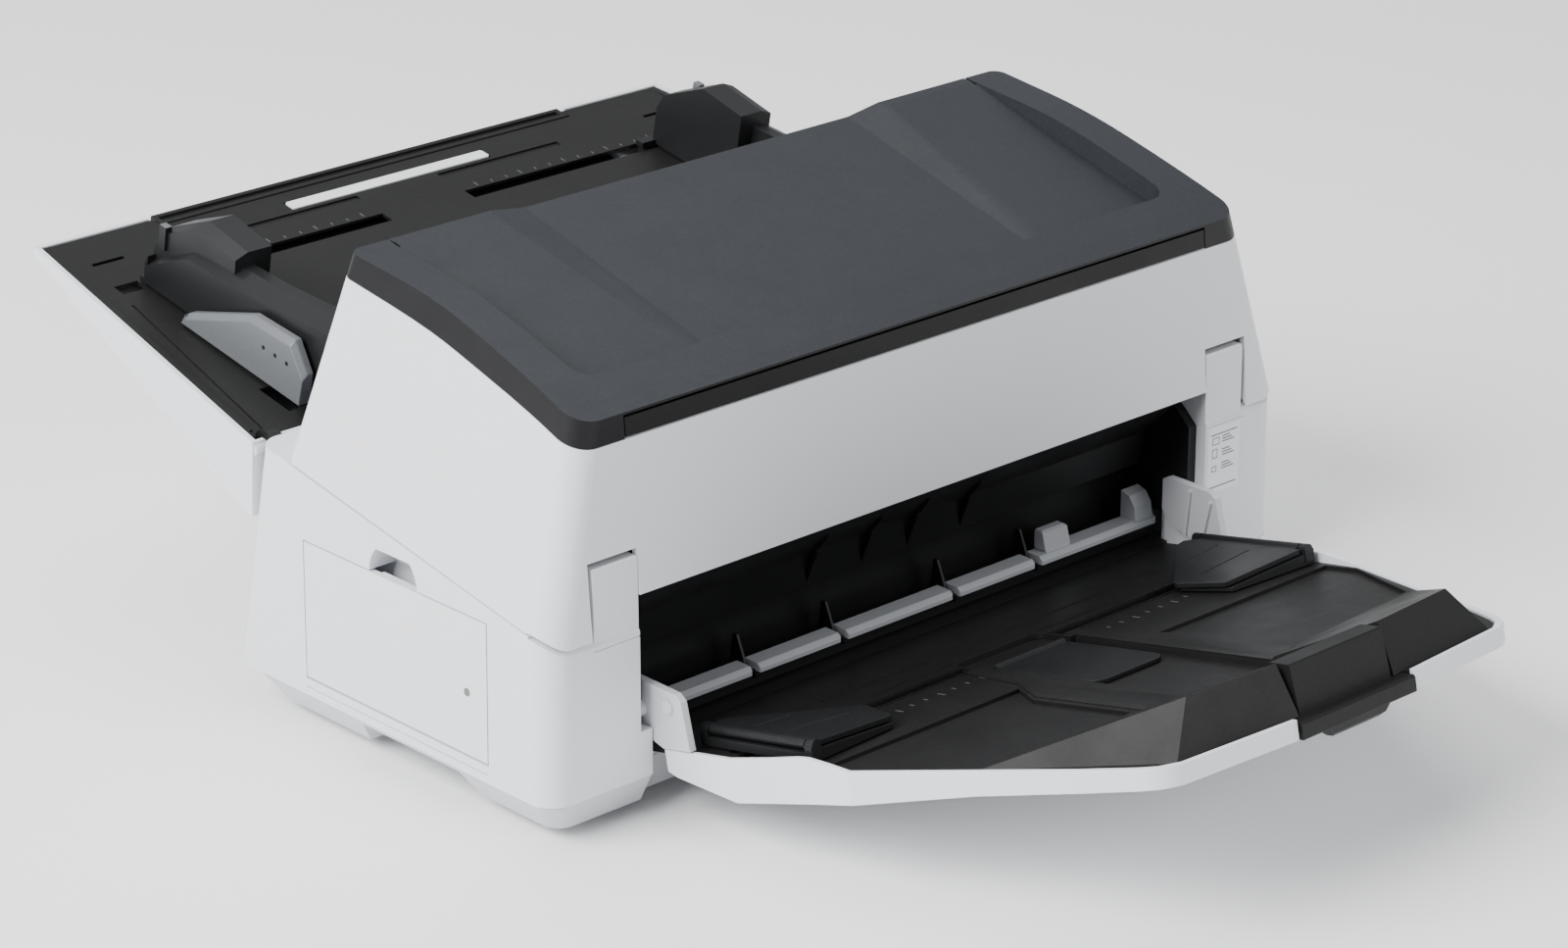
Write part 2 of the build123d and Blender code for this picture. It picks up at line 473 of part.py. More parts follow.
hs -= both(block(198.6, 206, -20, 2, -12, 20) - rod(-3.58, 2.6, 3.0, 190, 215))
parts["hopper_shell"] = at(HOPPER, hs)

tray_plan = [(hopper_half(-2) - 2.9, -2), (hopper_half(HOPPER_REAR) - 2.9, HOPPER_REAR - 2.6),
             (-hopper_half(HOPPER_REAR) + 2.9, HOPPER_REAR - 2.6), (-hopper_half(-2) + 2.9, -2)]
ht = slab(tray_plan, -1.6, 0)
ht += slab([(166.5, -9.2), (166.5, 4), (-166.5, 4), (-166.5, -9.2)], -1.6, 0)
rim_wedge = prism([(-2, 0), (-2, 5.9), (HOPPER_REAR - 2.6, 0.1), (HOPPER_REAR - 2.6, 0)], -215, 215)
ht += (rim_wedge & slab(tray_plan, -5, 20)) - slab([(x - 3.4 * (1 if x > 0 else -1), v) for x, v in tray_plan], -5, 20)
ht -= block(-122.2, 122.2, HOPPER_REAR - 9, HOPPER_REAR + 5, -8, 8)
SLOT_V0, SLOT_V1 = 138.2, 146.0
ht -= both(block(24.5, 152, SLOT_V0, SLOT_V1, -8, 3))
ht -= both(block(155, 172, 166, 168.4, -1.4, 3))
ht -= both(block(24, 98, 162.6, 166.2, -0.9, 3))
ht -= both(block(163, 175.5, SLOT_V0, SLOT_V1, -8, 3))
ht -= both(block(163.5, 175, 18, 40, -8, 3))
for v in (12, 30):
    ht -= both(block(60, 140, v, v + 0.7, -0.4, 3))
groove = slab([(177.6, 128), (178.6, 128), (196, 4), (195, 4)], -0.7, 3)
ht -= both(groove)
ht -= both(block(198.2, 206.6, -20, 5.5, -12, 20)) + both(block(200, 220, -20, 0.4, -12, 20))
ht -= block(-59.3, 59.3, 168.4, 176.2, -0.5, 3)
parts["hopper_tray"] = at(HOPPER, ht)
label = block(-58.7, 58.7, 168.9, 175.7, -0.45, 0.35)
parts["hopper_strip"] = at(HOPPER, fillet(label.edges().filter_by(Axis.Z), 1.5))

ext = block(-121.4, 121.4, HOPPER_REAR - 8.4, HOPPER_REAR + 0.5, -6.9, 0.5)
ext -= prism([(HOPPER_REAR - 5.6, -1.2), (HOPPER_REAR - 5.6, 5), (HOPPER_REAR - 2.2, 5), (HOPPER_REAR - 2.2, -1.2)],
             -119, 119)
ext += block(-119, 119, 96, HOPPER_REAR - 8, -6.9, -5.1)
parts["hopper_extension"] = at(HOPPER, ext)

# side guide and its lock paddle
guide_low = prism([(8, 1.2), (8, 37), (11, 41), (60, 34.5), (112, 31), (140, 15), (142, 11), (142, 1.2)], -162.5, -147)
for p, q in (((8, 37), (11, 41)), ((11, 41), (60, 34.5)), ((60, 34.5), (112, 31)), ((112, 31), (140, 15))):
    guide_low -= bevel_cut(-162.5, 9.5, p, q, 4.6)
guide_high = prism([(84, 1.2), (84, 40), (112, 42.5), (138, 28), (142, 20), (142, 1.2)], -158, -138.5)
for p, q in (((84, 40), (112, 42.5)), ((112, 42.5), (138, 28)), ((138, 28), (142, 20))):
    guide_high -= bevel_cut(-158, 6.5, p, q, 2.6)
side = guide_low + guide_high
side += block(-162.5, -130, 139.6, 144.6, 0.6, 3.4)
side += block(-150.6, -132, 140.2, 144.4, -4.6, 1.2)
side += block(-159.5, -156.0, 132.5, 137.0, 20, 31.5)
side += block(-147.2, -139, 16, 138, 0.6, 1.6)
side -= rod(62, 11, 3 + RUN, -164, -154)
parts["guide_left"] = at(HOPPER, side)
parts["guide_right"] = flip(parts["guide_left"])
paddle = prism([(103, 1.2), (100, 7), (56, 27), (27, 28.5), (17, 16), (18, 1.2)], -170.6, -164.6)
for p, q in (((100, 7), (56, 27)), ((56, 27), (27, 28.5)), ((27, 28.5), (17, 16))):
    paddle -= bevel_cut(-170.6, 2.6, p, q, 2.6)
paddle += rod(62, 11, 3, -166, -155.5)
parts["paddle_left"] = at(HOPPER, paddle)
parts["paddle_right"] = flip(parts["paddle_left"])

# ------------------------------------------------------------------ stacker (local: x, v negative to the front, h)
half_plan = [(159.5, -8), (158.9, -46), (154.2, -86), (152.4, -109), (116.2, -199), (106, -222), (102, -228), (94.5, -232.6),
             (37, -237.8)]


def stack_outline(inset, rear):
    pts = [(x - inset, v + (inset * 0.55 if v < -150 else 0) + (inset * 0.5 if v < -200 else 0)) for x, v in half_plan]
    pts[0] = (half_plan[0][0] - inset, rear)
    return pts + [(-x, v) for x, v in reversed(pts)]


keel = [(-8, 0), (-8, -9.5), (-13, -11.5), (-48, -18.4), (-158, -10.2), (-223, -8.6), (-240, -8.2), (-240, 0)]
ss = slab(stack_outline(0, -8), -40, 0) & prism(keel, -170, 170)
keel_in = [(0, 5), (-10.4, 5), (-10.4, -9.0), (-14, -10), (-48, -16), (-158, -7.9), (-223, -6.6), (-245, -6.2), (-245, 5)]
ss -= slab(stack_outline(2.2, -5), -60, 20) & prism(keel_in, -170, 170)
ss -= block(-34.6, 34.6, -250, -226.4, -20, 10)
ss -= block(-156.8, 156.8, -11, -7, -3.6, 5)
rim = slab(stack_outline(0, -8), -2, 5) - slab(stack_outline(2.2, -5), -3, 6)
ss += rim & prism([(-44, -1), (-46, 0), (-66, 1.7), (-82, 3.4), (-88, 3.5), (-98, 2.0), (-109, 0), (-111, -1)], -170, 170)
parts["stacker_shell"] = at(STACK, ss)

st = slab(stack_outline(2.4, 12), -3.2, -1.0)
st = st & slab([(156.4, 14), (156.4, -6), (170, -9), (170, -260), (-170, -260), (-170, -9), (-156.4, -6), (-156.4, 14)],
               -10, 10)
st += slab(stack_outline(2.4, 12), -4.4, -1.2) & block(-170, 170, -260, -60, -10, 10)
st -= block(-34.2, 34.2, -260, -227.4, -8, 5)
st -= both(slab([(148.6, -92), (40.5, -92), (50, -110), (48, -162.8), (126.5, -156.2), (148.6, -110)], -2.6, 3))
bump_pts = [(28, -233, -1.2), (92.5, -228.5, -1.2), (128.5, -156.9, -1.2), (28, -165, -1.2),
            (30, -226, 20), (76.5, -222, 20)]
bump_faces = [(0, 3, 2, 1), (0, 1, 5), (0, 5, 4), (1, 2, 5), (2, 3, 5), (3, 4, 5), (0, 4, 3)]
bump = polyhedron(bump_pts, bump_faces) + slab([(92, -228.2), (128, -157.2), (28.5, -165.2), (34.4, -228)], -3.6, -1.1)
st += both(bump)
for v, x0, x1 in ((-20.5, 24, 84), (-36.5, 22, 70), (-44.0, 22, 152), (-52.8, 22, 152)):
    st += both(block(x0, x1, v - 0.45, v + 0.45, -1.2, -0.45))
st -= both(block(23, 152, -51.6, -44.8, -8, 4))
# centre channel with the stopper seat
channel = slab([(25, -38), (25, -250), (-25, -250), (-25, -38)], -6, 6)
channel = fillet(upright_edges(channel, y_min=-60), 5)
st -= channel
well = slab([(26.6, -36.4), (26.6, -219), (-26.6, -219), (-26.6, -36.4)], -4.4, -1.0)
st += well - slab([(25, -38), (25, -250), (-25, -250), (-25, -38)], -3.4, 2)
st -= block(-27.6, 27.6, -260, -219.4, -8, 30)
ridge = slab([(25.2, -54), (33, -54), (36.5, -88), (47, -108), (45, -168), (25.2, -172)], -1.2, 0.3)
ridge = chamfer(ridge.faces().sort_by(Axis.Z)[-1].edges().filter_by(lambda e: (e @ 0.5).X > 26), 0.9)
st += both(ridge)
st -= both(block(146, 150, -44, -36, -8, 4))
parts["stacker_tray"] = at(STACK, st)

arm_pts = [(13, 56.5), (10, 58.2), (-15, 58.0), (-18.6, 55.6), (-22.6, 41), (-24.2, 35.6), (-8, 31.9), (6, 35.5), (13, 42)]
bracket = prism(arm_pts, -160.4, -156.8) + rod(6, 46, 4.0, -172, -160)
bracket += prism([(-17, 53.6), (-15.6, 54), (-11.2, 33.2), (-12.8, 33.2)], -157, -155.2)
bracket += prism([(-5, 55.6), (-3.6, 55.8), (-1.4, 34.4), (-3.0, 34.0)], -157, -155.2)
bracket += Pos(-160.9, -11.6, 51.6) * Rot(0, 90, 0) * Cylinder(3.0, 1.8)
bracket = bracket - at(STACK, block(-170, -150, -60, -7.9, -20, 0.2))
parts["bracket_left"] = bracket
parts["bracket_right"] = flip(bracket)

# wings: a slider in the tray slots carries a leaf on a pin
HX, HH = -146.0, 6.4
BARREL_R, LEAF_TILT = 2.4, 4.0
bed = Polyline(*[(x, 0, h) for x, h in ((-149.0, -0.35), (-149.0, 3.6), (-143.4, 3.6), (-143.2, 4.5), (-92, 0.9),
                                        (-92, -0.35))], close=True)
slider = extrude(make_face(bed), 100, dir=(0, -1, 0)) & slab(
    [(-149.0, -19), (-149.0, -86), (-142.6, -85.2), (-101, -81.5), (-94, -57), (-135, -20.5), (-139, -19)], -1, 5)
for v0, v1 in ((-23.4, -19), (-86, -81.6)):
    barrel = Pos(HX, (v0 + v1) / 2, HH) * Rot(90, 0, 0) * Cylinder(BARREL_R, v1 - v0)
    slider += block(-149.0, HX + BARREL_R, v0, v1, 1.0, HH) + barrel
slider += Pos(HX, -52.5, HH) * Rot(90, 0, 0) * Cylinder(1.2, 64)
slider += block(-138, -112, -51.1, -45.3, -4.6, 0)
parts["slider_left"] = at(STACK, slider)
leaf = slab([(-146, -24), (-142.6, -24), (-139, -18.4), (-133, -19.6), (-91.5, -56), (-99, -80), (-142.6, -84), (-142.6, -81),
             (-146, -81)], HH - 1.1, HH + 1.1)
leaf = fillet([e for e in upright_edges(leaf) if (e @ 0.5).X > -136], 3)
for v, x0, x1 in ((-40, -138, -118), (-60, -136, -104)):
    leaf -= block(x0, x1, v - 0.4, v + 0.4, HH + 0.7, HH + 3)
leaf = Pos(HX, 0, HH) * Rot(0, LEAF_TILT, 0) * Pos(-HX, 0, -HH) * leaf
leaf += Pos(HX, -52.5, HH) * Rot(90, 0, 0) * Cylinder(BARREL_R, 57)
leaf -= Pos(HX, -52.5, HH) * Rot(90, 0, 0) * Cylinder(1.2 + RUN, 70)
parts["wing_left"] = at(STACK, leaf)
parts["slider_right"] = flip(parts["slider_left"])
parts["wing_right"] = flip(parts["wing_left"])

# pull-out extension with the centre bumper block, and the flip-up stopper plate
tongue = prism([(-230.2, 18.4), (-229.6, 19.0), (-219.8, 19.0), (-221.5, -3.6), (-232.6, -3.6)], -27, 27)
tongue += prism([(-228, -1.5), (-238.2, -1.5), (-239.2, -2.5), (-239.2, -8.2), (-238.8, -8.6), (-228, -8.6)], -33.5, 33.5)
hook = prism([(-239.0, -8.4), (-238.4, -11.2), (-235.4, -13.2), (-231.8, -13.2), (-229, -9.0), (-228.6, -8.4)], -20, 20)
taper = Polyline((-17.8, -250, -8.2), (17.8, -250, -8.2), (13.3, -250, -13.4), (-13.3, -250, -13.4), close=True)
tongue += hook & extrude(make_face(taper), 30, dir=(0, 1, 0))
tongue += block(-22, 22, -230, -130, -6.0, -4.7)
parts["stacker_extension"] = at(STACK, tongue)
stopper = slab([(-20.5, -58), (-20.5, -118), (20.5, -118), (20.5, -58)], -3.1, -1.3)
stopper = fillet(upright_edges(stopper, y_max=-100), 7)
stopper += Pos(0, -58, -1.6) * Rot(0, 90, 0) * Cylinder(1.5, 41)
stopper += Pos(0, -58, -1.6) * Rot(0, 90, 0) * Cylinder(0.8, 45.4)
parts["stopper_plate"] = at(STACK, stopper)
seat = both(block(22.0, 25.4, -60.6, -55.4, -3.6, 0.2)) - rod(-58, -1.6, 0.8 + RUN, -30, 30)
parts["stacker_tray"] = parts["stacker_tray"] + at(STACK, seat)

# ------------------------------------------------------------------ side doors
skin = draft_block(0) - draft_block(WALL)
door = skin & block(-230, -200, DOOR_Y0 + 0.7, DOOR_Y1 - 0.7, DOOR_Z0 + 1.2, DOOR_Z1 - 0.7)
inner_box = block(-213.6, -207.4, 44, 147, 37, 83)
door += inner_box
axle = Pos(-213.2, (DOOR_Y0 + DOOR_Y1) / 2, 31) * Rot(90, 0, 0) * Cylinder(1.6, DOOR_Y1 - DOOR_Y0 + 4)
barrel = Pos(-213.0, (DOOR_Y0 + DOOR_Y1) / 2, 31) * Rot(90, 0, 0) * Cylinder(2.2, DOOR_Y1 - DOOR_Y0 - 1.2)
lip = block(-213.6, -210.4, 84, 106, DOOR_Z1 - 3.5, DOOR_Z1 - 0.7)
door = door + (axle & draft_block(-1)) + barrel + lip
parts["door_right"] = flip(door)
BUTTONS = {"button_stop": (124, 70), "button_start": (124, 50), "button_mode": (137, 60)}
door -= Pos(-216, 48.4, 55.1) * Rot(0, 90, 0) * Cylinder(1.7, 3)
for by, bz in BUTTONS.values():
    door -= Pos(-208.5, by, bz) * Rot(0, 90, 0) * Cylinder(4.6, 6)
door -= block(-209.4, -206, 54, 110, 44, 76)
parts["door_left"] = door
parts["display"] = block(-209.4, -207.2, 54.2, 109.8, 44.2, 75.8)
for name, (by, bz) in BUTTONS.items():
    cap_shape = Pos(-208.3, by, bz) * Rot(0, 90, 0) * Cylinder(4.2, 4.2)
    parts[name] = fillet(cap_shape.edges().sort_by(Axis.X)[-1], 0.8)
parts["status_lamp"] = Pos(-215.05, 48.4, 55.1) * Rot(0, 90, 0) * Cylinder(1.7, 1.0)

# ------------------------------------------------------------------ move to the row origin and export
whole = Compound(children=list(parts.values())).bounding_box()
SHIFT = (-(whole.min.X + whole.max.X) / 2, -(whole.min.Y + whole.max.Y) / 2, -whole.min.Z)
print("shift", [round(s, 4) for s in SHIFT], "size", whole.size)
for name, shape in parts.items():
    solids = [Pos(*SHIFT) * s for s in shape.solids()]
    moved = solids[0] if len(solids) == 1 else Compound(children=solids)
    if len(solids) != 1 or not moved.is_valid:
        print("look at", name, len(solids), "solids", moved.is_valid, [round(s.volume, 1) for s in solids][:6])
    export_step(moved, "parts/" + name + ".step")
print(len(parts), "parts")
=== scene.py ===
"""Looks of the sheet fed document scanner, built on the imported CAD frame. Units are metres."""

import json
import math

import bmesh
import bpy
from mathutils import Matrix, Vector


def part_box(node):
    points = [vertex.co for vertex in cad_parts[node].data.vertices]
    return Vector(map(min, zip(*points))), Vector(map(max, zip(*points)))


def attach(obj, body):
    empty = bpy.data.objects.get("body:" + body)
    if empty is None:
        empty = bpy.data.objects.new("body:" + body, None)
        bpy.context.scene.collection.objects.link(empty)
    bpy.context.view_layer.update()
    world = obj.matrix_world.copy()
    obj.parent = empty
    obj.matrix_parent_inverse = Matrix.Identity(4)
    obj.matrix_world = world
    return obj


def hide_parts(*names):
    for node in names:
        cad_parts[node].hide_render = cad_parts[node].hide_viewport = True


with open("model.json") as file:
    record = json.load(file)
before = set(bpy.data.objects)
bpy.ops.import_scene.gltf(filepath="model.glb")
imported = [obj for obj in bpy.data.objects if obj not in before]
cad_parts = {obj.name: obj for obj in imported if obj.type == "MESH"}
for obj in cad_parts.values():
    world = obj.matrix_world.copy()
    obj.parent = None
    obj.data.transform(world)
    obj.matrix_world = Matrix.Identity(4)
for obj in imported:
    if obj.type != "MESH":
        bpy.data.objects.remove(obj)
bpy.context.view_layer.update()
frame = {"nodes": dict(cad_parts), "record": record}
NODES = frame["nodes"]
SLOT_OF = {s["node"]: s["material_slot"] for s in frame["record"]["subparts"]}
BODY_OF = {n: b for b, members in frame["record"]["behaviour"]["bodies"].items() for n in members}
SCENE = bpy.context.scene
MM = 0.001

# Driving places in mm from the working origin of the CAD source, which lies under the front pillars.
PIVOT_Y, PIVOT_R = 10, 4
HOPPER_Y, PATH_Z, PATH_SLOPE = 196, 78.55, 0.189
STACK_Z, STACK_SLOPE = 29.7, 0.22
PADDLE_FACE_X = 170.6
LABEL_CENTRE = (179.1, -2.85, 65.05)
PATH_ANGLE = math.atan(PATH_SLOPE)
STACK_ANGLE = math.atan(STACK_SLOPE)
# where that origin lies in the shared frame
SHIFT_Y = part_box("pivot_pin_left")[0].y + PIVOT_R * MM - PIVOT_Y * MM


# ------------------------------------------------------------------ places
def at(x, y, z):
    """A point given in millimetres from the working origin of the CAD source."""
    return Vector((x * MM, y * MM + SHIFT_Y, z * MM))


def hopper_matrix():
    centre = at(0, HOPPER_Y, PATH_Z + PATH_SLOPE * HOPPER_Y)
    return Matrix.Translation(centre) @ Matrix.Rotation(PATH_ANGLE, 4, "X")


def stacker_matrix():
    return Matrix.Translation(at(0, 0, STACK_Z)) @ Matrix.Rotation(-STACK_ANGLE, 4, "X")


# ------------------------------------------------------------------ materials
def new_material(name):
    mat = bpy.data.materials.new(name)
    mat.use_nodes = True
    tree = mat.node_tree
    shader = tree.nodes["Principled BSDF"]
    coords = tree.nodes.new("ShaderNodeTexCoord").outputs["Object"]
    return mat, tree, shader, coords


def noise(tree, coords, scale, detail=2.0, rough=0.5, distortion=0.0):
    node = tree.nodes.new("ShaderNodeTexNoise")
    node.inputs["Scale"].default_value = scale
    node.inputs["Detail"].default_value = detail
    node.inputs["Roughness"].default_value = rough
    node.inputs["Distortion"].default_value = distortion
    tree.links.new(coords, node.inputs["Vector"])
    return node.outputs["Fac"]


def remap(tree, value, lo, hi, out_lo, out_hi):
    node = tree.nodes.new("ShaderNodeMapRange")
    for key, number in (("From Min", lo), ("From Max", hi), ("To Min", out_lo), ("To Max", out_hi)):
        node.inputs[key].default_value = number
    tree.links.new(value, node.inputs["Value"])
    return node.outputs["Result"]


def math_node(tree, kind, a, b):
    node = tree.nodes.new("ShaderNodeMath")
    node.operation = kind
    for socket, value in zip(node.inputs, (a, b)):
        if isinstance(value, (int, float)):
            socket.default_value = value
        else:
            tree.links.new(value, socket)
    return node.outputs[0]


def blend_colours(tree, fac, first, second):
    node = tree.nodes.new("ShaderNodeMix")
    node.data_type = "RGBA"
    for socket, value in ((node.inputs[6], first), (node.inputs[7], second)):
        if isinstance(value, tuple):
            socket.default_value = (*value, 1.0)
        else:
            tree.links.new(value, socket)
    tree.links.new(fac, node.inputs[0])
    return node.outputs[2]


def moulded(name, colour, rough, grain, grain_depth, mottle, speckle=0.0, dust=0.0, coat=0.0, scuff=0.0,
            grain_strength=0.35, shine=0.5):
    """Injection moulded plastic: spark-eroded grain, slow colour and gloss drift, dust, faint scuffs."""
    mat, tree, shader, coords = new_material(name)
    shader.inputs["Specular IOR Level"].default_value = shine
    if coat:
        shader.inputs["Coat Weight"].default_value = coat
        shader.inputs["Coat Roughness"].default_value = 0.25
    drift = noise(tree, coords, 7.0, 3.0, 0.55)
    fine = noise(tree, coords, grain, 2.0, 0.6)
    darker = tuple(c * (1 - mottle) for c in colour)
    lighter = tuple(min(1.0, c * (1 + mottle)) for c in colour)
    tone = blend_colours(tree, remap(tree, drift, 0.3, 0.7, 0.0, 1.0), darker, lighter)
    if speckle:
        spot = remap(tree, noise(tree, coords, grain * 0.55, 1.0, 0.5), 0.35, 0.7, 0.0, 1.0)
        tone = blend_colours(tree, math_node(tree, "MULTIPLY", spot, speckle), tone,
                             tuple(min(1.0, c * 1.9 + 0.01) for c in colour))
    if dust:
        cloud = remap(tree, noise(tree, coords, 22.0, 5.0, 0.7, 0.4), 0.52, 0.8, 0.0, dust)
        tone = blend_colours(tree, cloud, tone, DUST)
    tree.links.new(tone, shader.inputs["Base Color"])
    gloss = remap(tree, noise(tree, coords, 34.0, 4.0, 0.6), 0.3, 0.7, rough - 0.05, rough + 0.06)
    if scuff:
        stretch = tree.nodes.new("ShaderNodeMapping")
        stretch.inputs["Scale"].default_value = (9.0, 160.0, 60.0)
        stretch.inputs["Rotation"].default_value = (0.0, 0.0, 0.35)
        tree.links.new(coords, stretch.inputs["Vector"])
        lines = remap(tree, noise(tree, stretch.outputs["Vector"], 6.0, 3.0, 0.6), 0.62, 0.72, 0.0, scuff)
        gloss = math_node(tree, "SUBTRACT", gloss, lines)
    tree.links.new(gloss, shader.inputs["Roughness"])
    bump = tree.nodes.new("ShaderNodeBump")
    bump.inputs["Strength"].default_value = grain_strength
    bump.inputs["Distance"].default_value = grain_depth
    wave = math_node(tree, "ADD", fine, math_node(tree, "MULTIPLY", noise(tree, coords, 55.0, 2.0, 0.5), 1.2))
    tree.links.new(wave, bump.inputs["Height"])
    tree.links.new(bump.outputs["Normal"], shader.inputs["Normal"])
    return mat


LINE_SCALE = (900.0, 14.0, 14.0)      # close together along x, drawn out across it


def metal(name, colour, rough):
    """Turned or brushed metal with fine lines round the part."""
    mat, tree, shader, coords = new_material(name)
    shader.inputs["Metallic"].default_value = 1.0
    stretch = tree.nodes.new("ShaderNodeMapping")
    stretch.inputs["Scale"].default_value = LINE_SCALE
    tree.links.new(coords, stretch.inputs["Vector"])
    lines = noise(tree, stretch.outputs["Vector"], 3.0, 3.0, 0.6)
    darker = tuple(c * 0.82 for c in colour)
    tree.links.new(blend_colours(tree, lines, darker, colour), shader.inputs["Base Color"])
    tree.links.new(remap(tree, lines, 0.3, 0.7, rough - 0.08, rough + 0.1), shader.inputs["Roughness"])
    bump = tree.nodes.new("ShaderNodeBump")
    bump.inputs["Strength"].default_value = 0.25
    bump.inputs["Distance"].default_value = 0.00001
    tree.links.new(lines, bump.inputs["Height"])
    tree.links.new(bump.outputs["Normal"], shader.inputs["Normal"])
    return mat


def rubber(name, colour, rough):
    """Matt rubber with a ground surface and a bloom of paper dust."""
    mat, tree, shader, coords = new_material(name)
    shader.inputs["Specular IOR Level"].default_value = 0.3
    bloom = remap(tree, noise(tree, coords, 60.0, 5.0, 0.65), 0.45, 0.75, 0.0, 0.5)
    dusty = tuple(c + 0.06 for c in colour)
    tree.links.new(blend_colours(tree, bloom, colour, dusty), shader.inputs["Base Color"])
    tree.links.new(remap(tree, bloom, 0.0, 0.5, rough, rough + 0.12), shader.inputs["Roughness"])
    bump = tree.nodes.new("ShaderNodeBump")
    bump.inputs["Strength"].default_value = 0.5
    bump.inputs["Distance"].default_value = 0.00004
    tree.links.new(noise(tree, coords, 2400.0, 3.0, 0.7), bump.inputs["Height"])
    tree.links.new(bump.outputs["Normal"], shader.inputs["Normal"])
    return mat


def sleek(name, colour, rough, smear=0.1):
    """Polished surface with faint smears: glass strips, display, lamp, circuit lacquer."""
    mat, tree, shader, coords = new_material(name)
    shader.inputs["Coat Weight"].default_value = 0.6
    shader.inputs["Coat Roughness"].default_value = 0.05
    cloud = noise(tree, coords, 30.0, 4.0, 0.6, 0.6)
    darker = tuple(c * 0.85 for c in colour)
    lighter = tuple(c * 1.15 for c in colour)
    tree.links.new(blend_colours(tree, cloud, darker, lighter), shader.inputs["Base Color"])
    tree.links.new(remap(tree, cloud, 0.35, 0.75, rough, rough + smear), shader.inputs["Roughness"])
    return mat


DUST = (0.45, 0.44, 0.42)
MATERIALS = {
    "housing_white": moulded("housing_white", (0.72, 0.735, 0.765), 0.42, 1500, 0.00002, 0.012, dust=0.01,
                             scuff=0.04, shine=0.35),
    "casing_grey": moulded("casing_grey", (0.56, 0.575, 0.60), 0.46, 1500, 0.00002, 0.02, dust=0.02,
                           shine=0.35),
    "cover_charcoal": moulded("cover_charcoal", (0.0185, 0.0205, 0.0245), 0.50, 1300, 0.00003, 0.05,
                              speckle=0.16, dust=0.004, grain_strength=0.5, shine=0.28),
    # cover_edge is a darker copy of the cover charcoal, laid on the cover's steep faces as painted shade
    "cover_edge": moulded("cover_edge", (0.009, 0.009, 0.010), 0.40, 1300, 0.00002, 0.08, speckle=0.08,
                          dust=0.002, grain_strength=0.3, shine=0.25),
    "tray_black": moulded("tray_black", (0.0080, 0.0080, 0.0080), 0.45, 1300, 0.00003, 0.12, speckle=0.14,
                          dust=0.003, scuff=0.08, grain_strength=0.5, shine=0.22),
    "guide_black": moulded("guide_black", (0.0105, 0.0108, 0.0115), 0.38, 1500, 0.00002, 0.12, speckle=0.10,
                           dust=0.003, scuff=0.06, shine=0.25),
    "tick_grey": moulded("tick_grey", (0.10, 0.10, 0.10), 0.45, 1500, 0.00001, 0.05),
    "strip_grey": moulded("strip_grey", (0.47, 0.485, 0.51), 0.40, 1500, 0.00002, 0.03, dust=0.03,
                          scuff=0.06),
    "paddle_silver": moulded("paddle_silver", (0.115, 0.122, 0.130), 0.40, 1500, 0.00002, 0.04, speckle=0.1,
                             coat=0.1),
    "label_silver": moulded("label_silver", (0.80, 0.81, 0.82), 0.36, 2500, 0.00001, 0.01, coat=0.2),
    "rubber_black": rubber("rubber_black", (0.02, 0.02, 0.02), 0.8),
    "roller_rubber": rubber("roller_rubber", (0.10, 0.10, 0.11), 0.72),
    "steel": metal("steel", (0.62, 0.62, 0.64), 0.28),
    "glass_dark": sleek("glass_dark", (0.012, 0.014, 0.015), 0.04, 0.05),
    "board_green": sleek("board_green", (0.02, 0.12, 0.05), 0.3, 0.12),
    "display_dark": sleek("display_dark", (0.012, 0.013, 0.016), 0.08, 0.08),
    "lamp_green": sleek("lamp_green", (0.09, 0.10, 0.09), 0.2, 0.08),
    "button_white": moulded("button_white", (0.68, 0.69, 0.71), 0.36, 1800, 0.00001, 0.02),
    "ink_dark": moulded("ink_dark", (0.05, 0.05, 0.055), 0.35, 2500, 0.00001, 0.05),
}


def paint(obj, slot):
    if not obj.material_slots:
        obj.data.materials.append(MATERIALS[slot])
    for s in obj.material_slots:
        s.link = "OBJECT"
        s.material = MATERIALS[slot]


for node, obj in NODES.items():
    paint(obj, SLOT_OF[node])


# ------------------------------------------------------------------ refined copies of the CAD shapes
WELD_DISTANCE = 1e-6
FLAT_ENOUGH = math.radians(0.4)
EDGE_ANGLE = 28          # edges sharper than this many degrees are eased


def refine(node, width, angle):
    """A copy of a CAD shape with its sharp moulding edges eased by a real bevel."""
    mesh = NODES[node].data.copy()
    mesh.name = node + "_shape"
    obj = bpy.data.objects.new(node + "_shape", mesh)
    SCENE.collection.objects.link(obj)
    bm = bmesh.new()
    bm.from_mesh(mesh)
    bmesh.ops.remove_doubles(bm, verts=bm.verts, dist=WELD_DISTANCE)
    bmesh.ops.dissolve_limit(bm, angle_limit=FLAT_ENOUGH, verts=bm.verts, edges=bm.edges)
    for face in bm.faces:
        face.smooth = True
    bm.to_mesh(mesh)
    bm.free()
    mesh.set_sharp_from_angle(angle=math.radians(angle))
    mesh.materials.clear()
    mesh.materials.append(MATERIALS[SLOT_OF[node]])
    bevel = obj.modifiers.new("eased edges", "BEVEL")
    bevel.width = width
    bevel.segments = 2
    bevel.limit_method = "ANGLE"
    bevel.angle_limit = math.radians(angle)
    bevel.use_clamp_overlap = True
    bevel.harden_normals = True
    weighted = obj.modifiers.new("flat faces stay flat", "WEIGHTED_NORMAL")
    weighted.keep_sharp = True
    weighted.weight = 80
    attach(obj, BODY_OF[node])
    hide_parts(node)
    return obj


